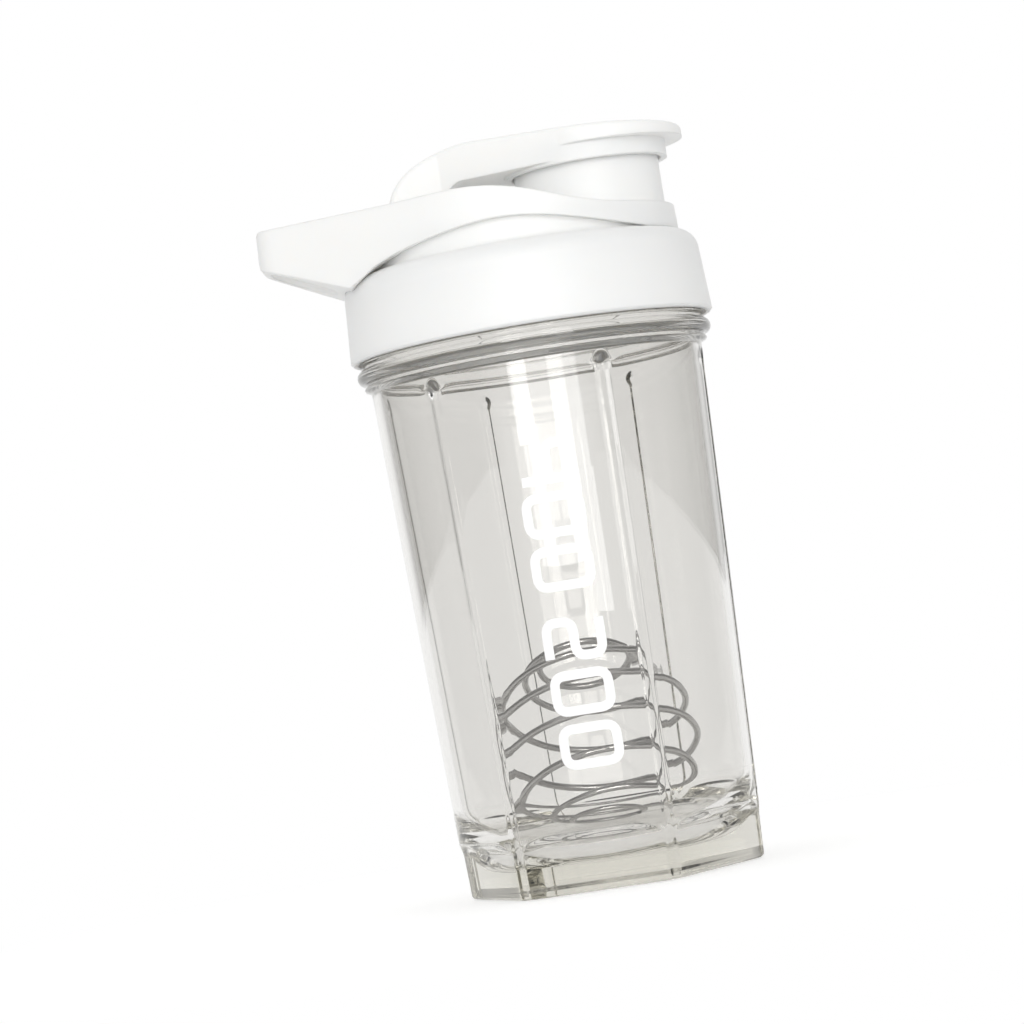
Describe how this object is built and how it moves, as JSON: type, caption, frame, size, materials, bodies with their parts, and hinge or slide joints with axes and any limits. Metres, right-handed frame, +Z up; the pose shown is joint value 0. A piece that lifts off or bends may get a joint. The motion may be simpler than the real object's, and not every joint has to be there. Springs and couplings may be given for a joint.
{
  "type": "protein shaker bottle",
  "caption": "Clear protein shaker bottle with white screw lid, carry loop, flip cap over the spout, seals and a steel wire whisk ball.",
  "frame": {"origin": "centre of the cup's underside", "axes": "+Z up along the bottle's axis; +X from the axis to the spout; the carry loop points to -X"},
  "size_m": [0.1082, 0.09, 0.1833],
  "materials": {
    "clear_plastic": "clear polished",
    "white_plastic": "satin",
    "silicone": "matte",
    "steel_wire": "polished"
  },
  "bodies": {
    "cup": {"cup": "clear_plastic"},
    "gasket": {"lid_gasket": "silicone"},
    "lid": {"lid": "white_plastic", "carry_handle": "white_plastic", "hinge_pin": "white_plastic"},
    "cap": {"flip_cap": "white_plastic", "spout_seal": "silicone"},
    "whisk": {"whisk_ball": "steel_wire"}
  },
  "joints": [
    {"name": "lid_lift", "type": "slide", "parent": "cup", "child": "gasket", "axis": [0, 0, 1], "range_m": [0, 0.0225]},
    {"name": "lid_turn", "type": "hinge", "parent": "gasket", "child": "lid", "pos_m": [0, 0, 0.15], "axis": [0, 0, 1], "range_deg": [0, 900]},
    {"name": "cap_hinge", "type": "hinge", "parent": "lid", "child": "cap", "pos_m": [-0.0245, 0, 0.1669], "axis": [0, -1, 0], "range_deg": [0, 110]},
    {"name": "whisk_slide", "type": "slide", "parent": "cup", "child": "whisk", "axis": [0, 0, 1], "range_m": [0, 0.09]}
  ],
  "couplings": [
    {"joint": "lid_lift", "follows": "lid_turn", "m_per_rad": 0.0014324}
  ]
}
